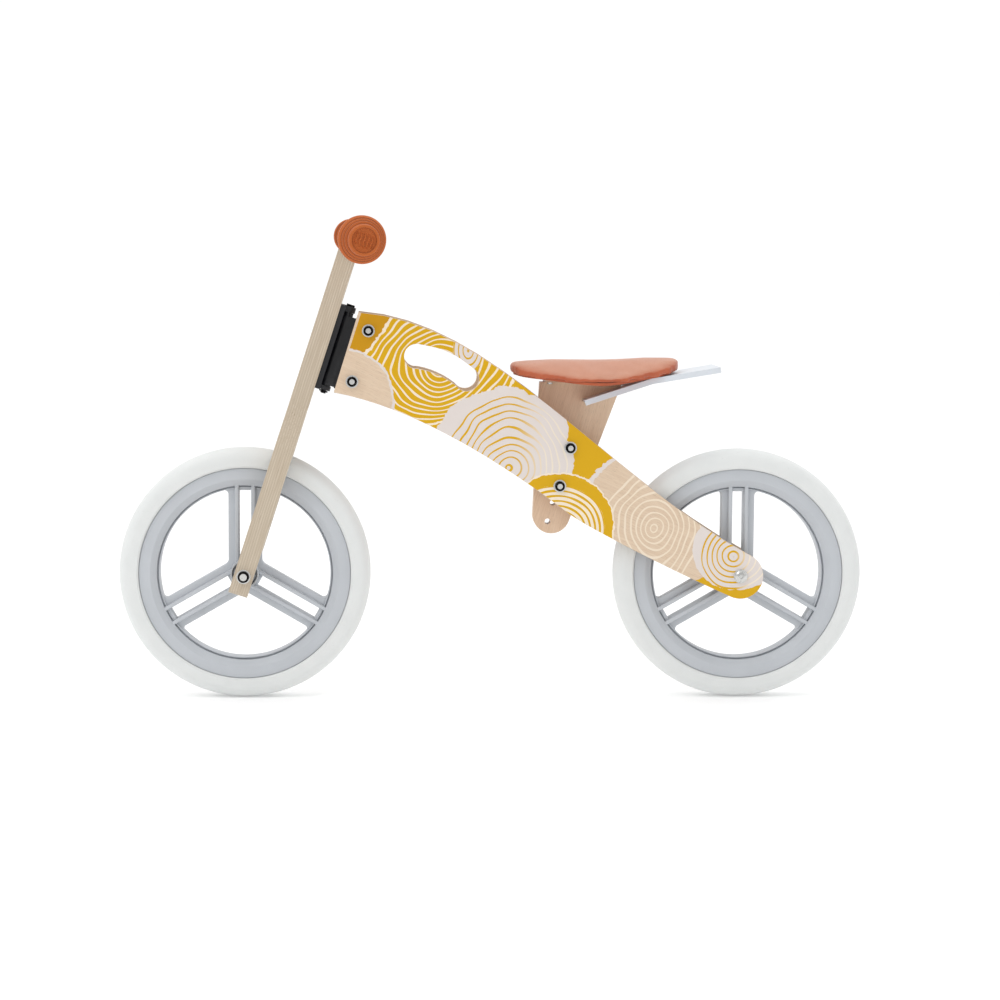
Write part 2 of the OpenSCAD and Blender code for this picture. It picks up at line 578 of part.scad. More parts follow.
function along(a, b) = (b - a) / norm(b - a);
function up_normal(a, b) = [-along(a, b)[1], along(a, b)[0]];
function strip(thick, drop) = [
    guard_front - drop * up_normal(guard_front, guard_bend),
    guard_bend - drop * up_normal(guard_front, guard_rear),
    guard_rear - drop * up_normal(guard_bend, guard_rear),
    guard_rear + (thick - drop) * up_normal(guard_bend, guard_rear),
    guard_bend + (thick - drop) * up_normal(guard_front, guard_rear),
    guard_front + (thick - drop) * up_normal(guard_front, guard_bend)];
module mudguard() color(foam) difference() {
    union() {
        across(-guard_w / 2, guard_w / 2) polygon(strip(guard_t, 0));
        for (side = [-1, 1]) scale([1, side, 1])
            across(guard_w / 2 - 2.4, guard_w / 2) polygon(strip(guard_lip, guard_lip - guard_t));
    }
    // slot that lets the guard pass either side of the seat post
    translate([guard_front[0] - 20, -post_t / 2 - 0.4, guard_front[1] - 40])
        cube([post_top[1][0] - guard_front[0] + 20.6, post_t + 0.8, 80]);
    at_guard_screws() rod_z(1.9, 350, 380);
}
module at_guard_screws() for (y = [-guard_screw_y, guard_screw_y])
    translate([guard_screw_x, y, 0]) children();
module mudguard_screws() color(steel) at_guard_screws() {
    rod_z(shell_screw_r, guard_head_z, guard_screw_tip);
    rod_z(3.6, guard_head_z - 1.6, guard_head_z);
}

left_side_panel();
right_side_panel();
head_block();
head_bolts();
head_washers();
head_nuts();
steering_bushes();
steering_bracket();
steering_pin();
pin_clip();
bracket_screws();
fork();
handlebar();
handlebar_screws();
left_grip();
right_grip();
front_axle();
front_axle_nut();
front_axle_washers();
front_axle_spacers();
front_tyre();
front_rim();
front_bearings();
front_bearing_cores();
front_hub_sleeve();
rear_axle();
rear_axle_nut();
rear_axle_washers();
rear_axle_spacers();
rear_tyre();
rear_rim();
rear_bearings();
rear_bearing_cores();
rear_hub_sleeve();
seat_post();
post_spacers();
seat_bolts();
seat_washers();
seat_nuts();
seat_plate();
seat_shell();
seat_cushion();
seat_screws();
shell_screws();
mudguard();
mudguard_screws();
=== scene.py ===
import json
import math

import bmesh
import bpy
from mathutils import Matrix, Vector
from mathutils.bvhtree import BVHTree


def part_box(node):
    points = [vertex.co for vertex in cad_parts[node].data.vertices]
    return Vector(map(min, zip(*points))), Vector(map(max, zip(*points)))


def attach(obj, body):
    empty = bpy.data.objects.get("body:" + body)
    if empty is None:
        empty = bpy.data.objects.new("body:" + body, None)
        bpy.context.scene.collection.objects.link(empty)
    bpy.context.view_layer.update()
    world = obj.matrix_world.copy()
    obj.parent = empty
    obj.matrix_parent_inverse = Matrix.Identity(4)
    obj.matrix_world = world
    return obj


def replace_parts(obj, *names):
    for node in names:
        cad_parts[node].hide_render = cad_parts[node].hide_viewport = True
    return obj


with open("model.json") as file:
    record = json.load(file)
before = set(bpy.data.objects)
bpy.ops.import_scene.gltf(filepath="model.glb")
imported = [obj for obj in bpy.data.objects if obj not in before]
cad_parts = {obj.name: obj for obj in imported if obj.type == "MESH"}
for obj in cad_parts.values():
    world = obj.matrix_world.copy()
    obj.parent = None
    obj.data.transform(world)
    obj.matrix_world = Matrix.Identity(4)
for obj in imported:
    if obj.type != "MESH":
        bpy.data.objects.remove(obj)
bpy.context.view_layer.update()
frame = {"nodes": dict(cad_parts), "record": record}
nodes = frame["nodes"]
record = frame["record"]

MM = 0.001
BODY = {node: body for body, names in record["behaviour"]["bodies"].items() for node in names}
SLOT = {part["node"]: part["material_slot"] for part in record["subparts"]}
SLOT["seat_shell"] = "seat_cover"  # the cover is pulled down round the shell


def centre(node):
    """Middle of a CAD node's box."""
    low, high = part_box(node)
    return (Vector(low) + Vector(high)) / 2


# ---------- places taken from the frame ----------

steer = next(joint for joint in record["behaviour"]["joints"] if joint["name"] == "steering_turn")
STEER_AXIS = Vector(steer["axis"]).normalized()
LEAN = math.atan2(STEER_AXIS.x, STEER_AXIS.z)
FORK_UP = (math.sin(LEAN), 0, math.cos(LEAN))
FORK_BACK = (math.cos(LEAN), 0, -math.sin(LEAN))
WHEELS = {"front": centre("front_tyre"), "rear": centre("rear_tyre")}
PANEL_OUT = -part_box("left_side_panel")[0][1]
PANEL_GRAIN = (0.91, 0, -0.42)
PANEL_FRONT_Z = 350.5
BARE_STRIP = 2.0
POST_UP = (0.261, 0, 0.965)

# handlebar's bend in the fork's own frame, and the angle its ends sweep back
BAR_MID = (-3.0, 62.0, 400.5)
BAR_SWEEP = math.radians(8)
FORK_PLACE = Matrix.Translation(WHEELS["front"]) @ Matrix.Rotation(LEAN, 4, "Y")


# ---------- materials ----------

def srgb(red, green, blue):
    """A linear colour from 0-255 display values."""
    def linear(value):
        share = value / 255
        return share / 12.92 if share <= 0.04045 else ((share + 0.055) / 1.055) ** 2.4
    return (linear(red), linear(green), linear(blue), 1.0)


YELLOW = srgb(214, 166, 6)
CREAM = srgb(240, 226, 204)
PALE_GREY = srgb(222, 213, 208)
BARE_WOOD = srgb(224, 203, 178)
BIRCH_LIGHT = srgb(208, 196, 178)
BIRCH_DARK = srgb(184, 168, 146)
PLY_GLUE = srgb(140, 116, 92)

INPUTS = {
    "roughness": "Roughness", "metallic": "Metallic", "specular": "Specular IOR Level",
    "coat": "Coat Weight", "coat_roughness": "Coat Roughness", "sheen": "Sheen Weight",
}


class Surface:
    """A material's nodes. Each method adds one kind of node and gives its output back."""

    def __init__(self, name, **shader):
        self.material = bpy.data.materials.new(name)
        self.material.use_nodes = True
        self.tree = self.material.node_tree
        self.shader = self.tree.nodes["Principled BSDF"]
        for key, value in shader.items():
            self.shader.inputs[INPUTS[key]].default_value = value
        coords = self.tree.nodes.new("ShaderNodeTexCoord")
        self.normal = coords.outputs["Normal"]
        self.place = self.vector("SCALE", coords.outputs["Object"], scale=1000.0)

    def put(self, socket, value):
        if isinstance(value, bpy.types.NodeSocket):
            self.tree.links.new(value, socket)
        elif value is not None:
            socket.default_value = value

    def math(self, operation, first, second=None, third=None):
        node = self.tree.nodes.new("ShaderNodeMath")
        node.operation = operation
        for socket, value in zip(node.inputs, (first, second, third)):
            self.put(socket, value)
        return node.outputs[0]

    def vector(self, operation, first, second=None, scale=None):
        node = self.tree.nodes.new("ShaderNodeVectorMath")
        node.operation = operation
        self.put(node.inputs[0], first)
        self.put(node.inputs[1], second)
        self.put(node.inputs[3], scale)
        return node.outputs[1 if operation in ("DOT_PRODUCT", "LENGTH") else 0]

    def noise(self, size, detail=2.0, stretch=(1, 1, 1), at=None):
        """Noise whose features are about size millimetres across, times stretch along each axis."""
        node = self.tree.nodes.new("ShaderNodeTexNoise")
        node.inputs["Scale"].default_value = 1.0
        node.inputs["Detail"].default_value = detail
        scale = tuple(1 / (size * part) for part in stretch)
        self.put(node.inputs["Vector"], self.vector("MULTIPLY", at or self.place, scale))
        return node.outputs["Fac"]

    def ramp(self, value, low, high, start=0.0, end=1.0):
        node = self.tree.nodes.new("ShaderNodeMapRange")
        for socket, number in zip(node.inputs, (value, low, high, start, end)):
            self.put(socket, number)
        return node.outputs[0]

    def mix(self, factor, first, second):
        node = self.tree.nodes.new("ShaderNodeMix")
        node.data_type = "RGBA"
        self.put(node.inputs[0], factor)
        self.put(node.inputs[6], first)
        self.put(node.inputs[7], second)
        return node.outputs[2]

    def combine(self, *parts):
        node = self.tree.nodes.new("ShaderNodeCombineXYZ")
        for socket, part in zip(node.inputs, parts):
            self.put(socket, part)
        return node.outputs[0]

    def axis(self, direction, at=None):
        """How far a point is along a direction, in millimetres."""
        return self.vector("DOT_PRODUCT", at or self.place, tuple(direction))

    def facing(self, direction):
        """1 where the surface faces along a direction or against it, 0 where it is edge on."""
        return self.math("ABSOLUTE", self.vector("DOT_PRODUCT", self.normal, tuple(direction)))

    def colour(self, value):
        self.put(self.shader.inputs["Base Color"], value)

    def rough(self, value):
        self.put(self.shader.inputs["Roughness"], value)

    def bump(self, height, strength=1.0):
        """Relief from a height in millimetres."""
        node = self.tree.nodes.new("ShaderNodeBump")
        node.inputs["Strength"].default_value = strength
        node.inputs["Distance"].default_value = MM
        self.put(node.inputs["Height"], height)
        self.put(self.shader.inputs["Normal"], node.outputs["Normal"])


def wood_coords(s, across, along):
    """Position in the board: along the grain, across its width, and through its thickness."""
    width = Vector(across).cross(Vector(along))
    return s.combine(s.axis(along), s.axis(width), s.axis(across))


def plywood(s, across, along, ply=1.5, light=BIRCH_LIGHT, dark=BIRCH_DARK):
    """Birch plywood: grain on the faces, plies on the edges. Gives (colour, height)."""
    board = wood_coords(s, across, along)
    streaks = s.noise(1.0, 4.0, (34, 1.1, 1.1), board)
    broad = s.noise(1.0, 2.0, (120, 11, 11), board)
    pores = s.ramp(s.noise(1.0, 1.0, (9, 0.32, 0.32), board), 0.62, 0.70)
    face = s.mix(s.ramp(streaks, 0.32, 0.72), light, dark)
    face = s.mix(s.math("MULTIPLY", s.ramp(broad, 0.4, 0.7), 0.45), face, dark)
    face = s.mix(s.math("MULTIPLY", pores, 0.35), face, PLY_GLUE)
    wave = s.math("MULTIPLY", s.math("SUBTRACT", s.noise(1.0, 2.0, (70, 20, 20), board), 0.5), 0.5)
    depth = s.math("ADD", s.math("DIVIDE", s.axis(across), 2 * ply), wave)
    phase = s.math("FRACT", depth)
    layer = s.math("GREATER_THAN", phase, 0.5)
    glue = s.math("LESS_THAN", s.math("PINGPONG", depth, 0.5), 0.035)
    knots = s.ramp(s.noise(1.0, 1.0, (26, 3.2, 1.6), board), 0.71, 0.76)
    edge = s.mix(layer, s.mix(s.ramp(streaks, 0.3, 0.75), light, dark), s.mix(0.75, light, dark))
    edge = s.mix(s.math("MULTIPLY", glue, 0.55), edge, PLY_GLUE)
    edge = s.mix(s.math("MULTIPLY", knots, 0.4), edge, PLY_GLUE)
    on_face = s.ramp(s.facing(across), 0.75, 0.9)
    colour = s.mix(on_face, edge, face)
    height = s.math("MULTIPLY", s.math("ADD", streaks, s.math("MULTIPLY", pores, -0.6)), 0.05)
    return colour, height


def birch(name, across, along, **tones):
    """Lacquered birch plywood."""
    s = Surface(name, roughness=0.42, specular=0.4)
    colour, height = plywood(s, across, along, **tones)
    s.colour(colour)
    s.bump(height)
    s.rough(s.ramp(s.noise(6, 3), 0.3, 0.7, 0.36, 0.5))
    return s.material


class Print:
    """A tree-ring print on the panels' outer faces, in X and Z millimetres."""

    def __init__(self, s):
        self.s = s
        self.flat = s.vector("MULTIPLY", s.place, (1, 0, 1))
        self.coarse = s.math("SUBTRACT", s.noise(62, 0.0, at=self.flat), 0.5)
        self.fine = s.math("SUBTRACT", s.noise(7, 2.0, at=self.flat), 0.5)
        self.mid = s.math("SUBTRACT", s.noise(24, 0.0, at=self.flat), 0.5)
        self.value = YELLOW

    def reach(self, middle, size, wobble):
        """Distance from a disc's middle, 1 at its edge, with a wandering outline."""
        s = self.s
        offset = s.vector("SUBTRACT", self.flat, (middle[0], 0, middle[1]))
        scaled = s.vector("MULTIPLY", offset, (1 / size[0], 0, 1 / size[1]))
        bend = s.math("MULTIPLY_ADD", self.mid, 0.3 * wobble, s.math("MULTIPLY", self.coarse, wobble))
        return s.math("ADD", s.vector("LENGTH", scaled), bend)

    def blob(self, middle, size, colour, wobble=0.3, ragged=0.09):
        """Covers a disc with a colour and gives back its distance field and its mask."""
        s = self.s
        reach = self.reach(middle, size, wobble)
        inside = s.math("LESS_THAN", s.math("MULTIPLY_ADD", self.fine, ragged, reach), 1.0)
        self.value = s.mix(inside, self.value, colour)
        return reach, inside

    def rings(self, reach, inside, pitch, duty, line, limit=1.0):
        """Draws growth rings, pitch apart as a share of the disc, inside a blob."""
        s = self.s
        phase = s.math("FRACT", s.math("DIVIDE", reach, pitch))
        width = s.math("MULTIPLY_ADD", self.mid, duty * 1.1, duty)
        mask = s.math("LESS_THAN", phase, width)
        mask = s.math("MULTIPLY", mask, inside)
        mask = s.math("MULTIPLY", mask, s.math("LESS_THAN", reach, limit))
        self.value = s.mix(mask, self.value, line)

    def outline(self, reach, width, colour):
        """A thin border just outside a blob."""
        s = self.s
        ragged = s.math("MULTIPLY_ADD", self.fine, 0.09, reach)
        near = s.math("LESS_THAN", s.math("ABSOLUTE", s.math("SUBTRACT", ragged, 1.0)), width)
        self.value = s.mix(near, self.value, colour)


def ring_print(s, bare):
    """The panels' print of yellow, pale grey and cream tree rings. bare is the wood's colour."""
    p = Print(s)
    p.blob((-182, 424), (66, 44), srgb(198, 143, 2), 0.1)
    slot = p.blob((-62, 382), (84, 66), YELLOW, 0.34)
    p.rings(*slot, pitch=0.082, duty=0.27, line=CREAM)
    p.outline(slot[0], 0.018, CREAM)
    patch = p.blob((-166, 346), (51, 50), bare, 0.25)
    p.outline(patch[0], 0.028, PALE_GREY)
    stripes = p.blob((-30, 398), (17, 26), PALE_GREY, 0.2)
    p.rings(*stripes, pitch=0.3, duty=0.32, line=YELLOW)
    grey = p.blob((6, 264), (82, 94), PALE_GREY, 0.22)
    shoulder = p.blob((38, 308), (46, 41), PALE_GREY, 0.1)
    pale_area = s.math("MAXIMUM", grey[1], shoulder[1])
    fading = s.mix(s.ramp(s.axis((1, 0, 0)), 24, 58), YELLOW, srgb(233, 222, 205))
    inner = p.reach((16, 266), (82, 88), 0.3)
    p.rings(inner, pale_area, pitch=0.097, duty=0.24, line=fading, limit=0.93)
    pale = p.blob((190, 202), (92, 92), bare, 0.18)
    p.outline(pale[0], 0.022, PALE_GREY)
    wood_rings = p.reach((182, 197), (66, 82), 0.42)
    p.rings(wood_rings, pale[1], pitch=0.105, duty=0.27, line=srgb(234, 218, 197), limit=0.9)
    half = p.blob((75, 198), (62, 62), YELLOW, 0.12, 0.02)
    p.outline(half[0], 0.014, CREAM)
    core = p.blob((72, 194), (54, 53), CREAM, 0.16, 0.02)
    p.rings(*core, pitch=0.108, duty=0.44, line=YELLOW)
    p.blob((256, 84), (62, 61), YELLOW, 0.1)
    rear = p.blob((277, 172), (52, 46), PALE_GREY, 0.2)
    rear_fade = s.mix(s.ramp(s.axis((1, 0, 0)), 276, 292), YELLOW, srgb(236, 224, 206))
    rear_rings = p.reach((274, 165), (50, 50), 0.3)
    p.rings(rear_rings, rear[1], pitch=0.125, duty=0.27, line=rear_fade, limit=0.86)
    return p.value


def printed_panel(name):
    """Side panel: printed on its outer face, bare wood on its edges, inside and along its front end."""
    s = Surface(name, roughness=0.45, specular=0.25, coat=0.05, coat_roughness=0.3)
    wood, height = plywood(s, (0, 1, 0), PANEL_GRAIN, light=BARE_WOOD, dark=srgb(213, 188, 162))
    ink = ring_print(s, wood)
    outside = s.math("GREATER_THAN", s.math("ABSOLUTE", s.axis((0, 1, 0))), PANEL_OUT / MM - 0.25)
    outside = s.math("MULTIPLY", outside, s.math("GREATER_THAN", s.facing((0, 1, 0)), 0.93))
    front = Vector(FORK_BACK)
    corner = Vector(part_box("left_side_panel")[0])
    edge = front.x * (corner.x / MM) + front.z * PANEL_FRONT_Z + BARE_STRIP
    strip = s.math("GREATER_THAN", s.axis(front), edge)
    outside = s.math("MULTIPLY", outside, strip)
    s.colour(s.mix(outside, wood, ink))
    s.bump(height, 0.8)
    s.rough(s.ramp(s.noise(5, 3), 0.3, 0.7, 0.34, 0.46))
    return s.material


def moulded(name, colour, darker, roughness, grain=0.02, size=0.5, **shader):
    """Moulded plastic or rubber with a fine eroded grain."""
    s = Surface(name, roughness=roughness, **shader)
    cloud = s.noise(38, 2)
    fine = s.noise(size, 3)
    s.colour(s.mix(s.ramp(cloud, 0.3, 0.7, 0.0, 0.5), colour, darker))
    s.bump(s.math("MULTIPLY", fine, grain))
    s.rough(s.ramp(s.noise(4, 3), 0.3, 0.7, roughness - 0.05, roughness + 0.07))
    return s.material


GRIP_STEPS = (22.9, 20.4, 17.6, 13.2)


def grip_rubber(name):
    """Moulded rubber, with painted shade at the foot of each step round the bar."""
    s = Surface(name, roughness=0.55, specular=0.3, sheen=0.05)
    cloud = s.noise(38, 2)
    colour = s.mix(s.ramp(cloud, 0.3, 0.7, 0.0, 0.5), srgb(186, 96, 38), srgb(168, 82, 30))
    bend = FORK_PLACE @ (Vector(BAR_MID) * MM)
    out = s.math("SUBTRACT", s.math("ABSOLUTE", s.axis((0, 1, 0))), BAR_MID[1])
    back = s.math("SUBTRACT", s.axis(FORK_BACK), Vector(FORK_BACK).dot(bend) / MM)
    back = s.math("SUBTRACT", back, s.math("MULTIPLY", out, math.tan(BAR_SWEEP)))
    up = s.math("SUBTRACT", s.axis(FORK_UP), Vector(FORK_UP).dot(bend) / MM)
    radius = s.math("SQRT", s.math("ADD", s.math("MULTIPLY", back, back), s.math("MULTIPLY", up, up)))
    end_on = s.ramp(s.facing((0, 1, 0)), 0.3, 0.7)
    # painted shade: a dark ring of colour at the foot of each step, on the faces that look along the bar
    for foot in GRIP_STEPS:
        near = s.ramp(s.math("ABSOLUTE", s.math("SUBTRACT", radius, foot)), 0.2, 0.9, 0.75, 0.0)
        colour = s.mix(s.math("MULTIPLY", near, end_on), colour, srgb(104, 48, 22))
    s.colour(colour)
    s.bump(s.math("MULTIPLY", s.noise(0.45, 3), 0.03))
    s.rough(s.ramp(s.noise(4, 3), 0.3, 0.7, 0.5, 0.62))
    return s.material


def foam(name):
    """Closed-cell foam: fine cells, small pits and faint scuffs."""
    s = Surface(name, roughness=0.72, specular=0.25, sheen=0.08)
    cells = s.noise(0.7, 2)
    pits = s.ramp(s.noise(2.2, 2), 0.66, 0.74)
    cloud = s.ramp(s.noise(26, 3), 0.35, 0.7)
    base = s.mix(s.math("MULTIPLY", cloud, 0.35), srgb(225, 227, 226), srgb(215, 218, 217))
    s.colour(s.mix(s.math("MULTIPLY", pits, 0.22), base, srgb(196, 198, 194)))
    s.bump(s.math("MULTIPLY_ADD", pits, -0.05, s.math("MULTIPLY", cells, 0.03)))
    return s.material


def leather(name):
    """Artificial leather: cells of grain, with painted light: paler on what faces up, darker on the sides.
    """
    s = Surface(name, roughness=0.42, specular=0.5, sheen=0.15)
    cells = s.tree.nodes.new("ShaderNodeTexVoronoi")
    cells.feature = "DISTANCE_TO_EDGE"
    cells.inputs["Scale"].default_value = 1.0
    warp = s.vector("SCALE", s.combine(s.noise(3.0, 2), s.noise(3.3, 2), s.noise(2.7, 2)), scale=1.4)
    s.put(cells.inputs["Vector"], s.vector("ADD", s.vector("SCALE", s.place, scale=1 / 1.35), warp))
    crease = s.ramp(cells.outputs["Distance"], 0.0, 0.16)
    cloud = s.ramp(s.noise(30, 3), 0.35, 0.7)
    # painted light: faces that look up get the paler lit colour, the sides the darker shaded colour
    up = s.ramp(s.vector("DOT_PRODUCT", s.normal, (0, 0, 1)), 0.35, 0.95)
    side = s.mix(cloud, srgb(188, 92, 50), srgb(174, 80, 42))
    top = s.mix(cloud, srgb(200, 138, 108), srgb(192, 128, 96))
    base = s.mix(up, side, top)
    s.colour(s.mix(s.math("MULTIPLY_ADD", crease, -0.22, 0.22), base, srgb(140, 72, 44)))
    s.bump(s.math("MULTIPLY", crease, 0.06))
    s.rough(s.ramp(crease, 0.0, 1.0, 0.55, 0.4))
    return s.material


def metal(name, colour, roughness):
    """Plated or blackened steel with fine turning marks and small dull spots."""
    s = Surface(name, roughness=roughness, metallic=1.0)
    marks = s.noise(0.5, 3)
    spots = s.ramp(s.noise(1.8, 3), 0.55, 0.7)
    s.colour(s.mix(s.math("MULTIPLY", spots, 0.35), colour, srgb(128, 126, 120)))
    s.rough(s.math("MULTIPLY_ADD", marks, 0.16, roughness - 0.06))
    s.bump(s.math("MULTIPLY", marks, 0.01))
    return s.material


FORK_WOOD = birch("fork_birch", FORK_BACK, FORK_UP, ply=1.35)
BAR_WOOD = birch("handlebar_birch", FORK_BACK, (0, 1, 0), ply=1.35)
POST_WOOD = birch("seat_post_birch", (0, 1, 0), POST_UP, light=srgb(226, 199, 173),
                  dark=srgb(212, 181, 153))
PLATE_WOOD = birch("seat_plate_birch", (0, 0, 1), (1, 0, 0), light=srgb(214, 188, 162),
                   dark=srgb(192, 160, 132))
PANEL = printed_panel("printed_plywood")
BLACK_PLASTIC = moulded("black_plastic", srgb(24, 25, 31), srgb(15, 16, 21), 0.36, 0.03, 0.6)
GREY_PLASTIC = moulded("grey_plastic", srgb(192, 196, 201), srgb(184, 188, 193), 0.44, 0.012, 0.6)
WHITE_PLASTIC = moulded("white_plastic", srgb(214, 219, 225), srgb(206, 212, 218), 0.34, 0.01, 0.7)
RUBBER = grip_rubber("grip_rubber")
FOAM = foam("eva_foam")
SEAT_COVER = leather("seat_cover")
ZINC = metal("zinc_steel", srgb(206, 206, 204), 0.26)
BLACK_STEEL = metal("black_steel", srgb(20, 20, 22), 0.4)

FINISH = {
    "printed_plywood": PANEL, "birch_plywood": POST_WOOD, "black_plastic": BLACK_PLASTIC,
    "grey_plastic": GREY_PLASTIC, "eva_foam": FOAM, "grip_rubber": RUBBER,
    "seat_cover": SEAT_COVER, "white_plastic": WHITE_PLASTIC, "black_steel": BLACK_STEEL,
    "zinc_steel": ZINC,
}
SPECIAL = {"fork": FORK_WOOD, "handlebar": BAR_WOOD, "seat_plate": PLATE_WOOD}


def finish_of(node):
    """The material a CAD node is shown in."""
    return SPECIAL.get(node, FINISH[SLOT[node]])


# ---------- mesh helpers ----------

def smooth(mesh):
    """Smooth shading that keeps real edges sharp."""
    mesh.shade_smooth()
    mesh.set_sharp_from_angle(angle=math.radians(35))


def add_piece(name, mesh, node):
    """Makes an object of a mesh, which rides with a CAD node's body and takes its finish."""
    piece = bpy.data.objects.new(name, mesh)
    bpy.context.scene.collection.objects.link(piece)
    mesh.materials.clear()
    mesh.materials.append(finish_of(node))
    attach(piece, BODY[node])
    return piece


def mesh_from(name, build):
    """A mesh from a function that fills a bmesh."""
    bm = bmesh.new()
    build(bm)
    bmesh.ops.remove_doubles(bm, verts=bm.verts, dist=1e-6)
    bmesh.ops.recalc_face_normals(bm, faces=bm.faces)
    mesh = bpy.data.meshes.new(name)
    bm.to_mesh(mesh)
    bm.free()
    smooth(mesh)
    return mesh


def refined(node, width):
    """The CAD node's own shape with its edges rounded, in place of the sharp one."""
    def build(bm):
        bm.from_mesh(nodes[node].data)
        bmesh.ops.remove_doubles(bm, verts=bm.verts, dist=2e-6)
        bmesh.ops.dissolve_limit(bm, angle_limit=math.radians(0.6), verts=bm.verts, edges=bm.edges)
    piece = add_piece(node + "_rounded", mesh_from(node + "_rounded", build), node)
    bevel = piece.modifiers.new("round", "BEVEL")
    bevel.width = width * MM
    bevel.segments = 3
    bevel.limit_method = "ANGLE"
    bevel.angle_limit = math.radians(28)
    bevel.use_clamp_overlap = True
    bevel.harden_normals = True
    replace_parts(piece, node)


def rounded(points, radius, steps=4):
    """A closed outline with each corner turned into an arc. Corners on the axis (v = 0) stay."""
    result = []
    count = len(points)
    for index, corner in enumerate(points):
        corner = Vector(corner)
        before = Vector(points[index - 1]) - corner
        after = Vector(points[(index + 1) % count]) - corner
        turn = before.angle(after) if before.length and after.length else math.pi
        if corner.y == 0 or turn > math.radians(168):
            result.append(corner)
            continue
        reach = min(radius / math.tan(turn / 2), 0.45 * before.length, 0.45 * after.length)
        start = corner + before.normalized() * reach
        end = corner + after.normalized() * reach
        for step in range(steps + 1):
            share = step / steps
            result.append((1 - share) ** 2 * start + 2 * share * (1 - share) * corner + share ** 2 * end)
    return result


def lathe(bm, outline, place, turns=192):
    """Turns an outline of (along the axis, radius) points, in millimetres, about the local Y axis."""
    loops = []
    for turn in range(turns):
        angle = 2 * math.pi * turn / turns
        loops.append([bm.verts.new(place @ Vector((
            point[1] * MM * math.cos(angle), point[0] * MM, point[1] * MM * math.sin(angle))))
            for point in outline])
    for turn in range(turns):
        here, there = loops[turn], loops[(turn + 1) % turns]
        for index in range(len(outline)):
            following = (index + 1) % len(outline)
            if outline[index][1] == 0 and outline[following][1] == 0:
                continue
            corners = [here[index], here[following], there[following], there[index]]
            if outline[index][1] == 0:
                corners = [here[index], here[following], there[following]]
            if outline[following][1] == 0:
                corners = [here[index], here[following], there[index]]
            bm.faces.new(corners)


def plate(bm, outlines, half, place, edge=1.0):
    """Flat plate between -half and half along local Y from closed X-Z outlines in millimetres; inner
    outlines become holes. Its edges are rounded by edge."""
    curve = bpy.data.curves.new("plate", "CURVE")
    curve.dimensions = "2D"
    curve.fill_mode = "BOTH"
    curve.extrude = (half - edge) * MM
    curve.bevel_depth = edge * MM
    curve.bevel_resolution = 2
    curve.offset = -edge * MM
    for outline in outlines:
        spline = curve.splines.new("POLY")
        spline.points.add(len(outline) - 1)
        spline.use_cyclic_u = True
        for point, (x, z) in zip(spline.points, outline):
            point.co = (x * MM, z * MM, 0, 1)
    holder = bpy.data.objects.new("plate", curve)
    bpy.context.scene.collection.objects.link(holder)
    mesh = bpy.data.meshes.new_from_object(holder.evaluated_get(bpy.context.evaluated_depsgraph_get()))
    mesh.transform(place @ Matrix.Rotation(math.radians(90), 4, "X"))
    bm.from_mesh(mesh)
    bpy.data.objects.remove(holder)
    bpy.data.curves.remove(curve)
    bpy.data.meshes.remove(mesh)


def arc(middle, radius, start, end, steps):
    """Points on an arc, angles in radians."""
    return [(middle[0] + radius * math.cos(start + (end - start) * k / steps),
             middle[1] + radius * math.sin(start + (end - start) * k / steps)) for k in range(steps + 1)]


def turned(points, angle):
    """Points turned about the middle."""
    c, s = math.cos(angle), math.sin(angle)
    return [(c * x - s * z, s * x + c * z) for x, z in points]


# ---------- wheels ----------

TYRE_R = (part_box("front_tyre")[1][2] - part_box("front_tyre")[0][2]) / 2 / MM
TYRE_HALF = (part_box("front_tyre")[1][1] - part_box("front_tyre")[0][1]) / 2 / MM
RIM_R = (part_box("front_rim")[1][2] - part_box("front_rim")[0][2]) / 2 / MM
HUB_HALF = (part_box("front_rim")[1][1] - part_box("front_rim")[0][1]) / 2 / MM
RIM_OPEN = 97.0
RIM_FACE = 18.0
BED_R = RIM_R - 6
BED_HALF = 15.0
HUB_R = 16.0
BEARING_R = 11.05
PAIR_HALF = 19.0
GAP_HALF = 7.0
RIB_W = 4.5
WEB_HALF = 7.0
RIB_HALF = 13.0
SHADE_PLATE_HALF = 9.0
RIM_FILLET = 4.5
HUB_FILLET = 8.0
PAIR_TURNS = [math.radians(angle) for angle in (90, 210, 330)]


def tyre_outline():
    """Section of the foam tyre: bed, straight sidewalls, rounded shoulders and crown."""
    depth, power, steps = 13.0, 2.4, 14
    side = [(BED_HALF - 0.3, BED_R + 0.2), (BED_HALF - 0.3, RIM_R + 0.3), (TYRE_HALF - 2.2, RIM_R + 0.5),
            (TYRE_HALF - 0.5, RIM_R + 2.4)]
    crown = []
    for step in range(steps):
        share = math.sin(math.pi / 2 * step / steps)
        crown.append((TYRE_HALF * (1 - share ** power) ** (1 / power), TYRE_R - depth + depth * share))
    half = side + crown
    return half + [(0, TYRE_R)] + [(-along, radius) for along, radius in reversed(half)]


def rim_outline():
    """Section of the rim: bed for the tyre, outer face, and a groove and lip round its opening."""
    half = [(10.0, RIM_OPEN), (10.0, RIM_OPEN + 1.3), (3.5, RIM_OPEN + 1.5), (3.5, RIM_OPEN + 2.7),
            (12.6, RIM_OPEN + 3.0), (RIM_FACE - 0.8, RIM_OPEN + 9),
            (RIM_FACE, RIM_OPEN + 10.5), (RIM_FACE, RIM_R), (BED_HALF, RIM_R), (BED_HALF, BED_R)]
    return rounded(half + [(-along, radius) for along, radius in reversed(half)], 0.5, 3)


def hub_outline():
    """Section of the hub, with a recess round each bearing."""
    half = [(HUB_HALF - 8.6, BEARING_R), (HUB_HALF - 1.5, BEARING_R), (HUB_HALF - 1.5, BEARING_R + 0.9),
            (HUB_HALF - 7, BEARING_R + 0.9), (HUB_HALF - 7, HUB_R - 1.8), (HUB_HALF, HUB_R - 1.8),
            (HUB_HALF, HUB_R)]
    return rounded(half + [(-along, radius) for along, radius in reversed(half)], 0.3, 2)


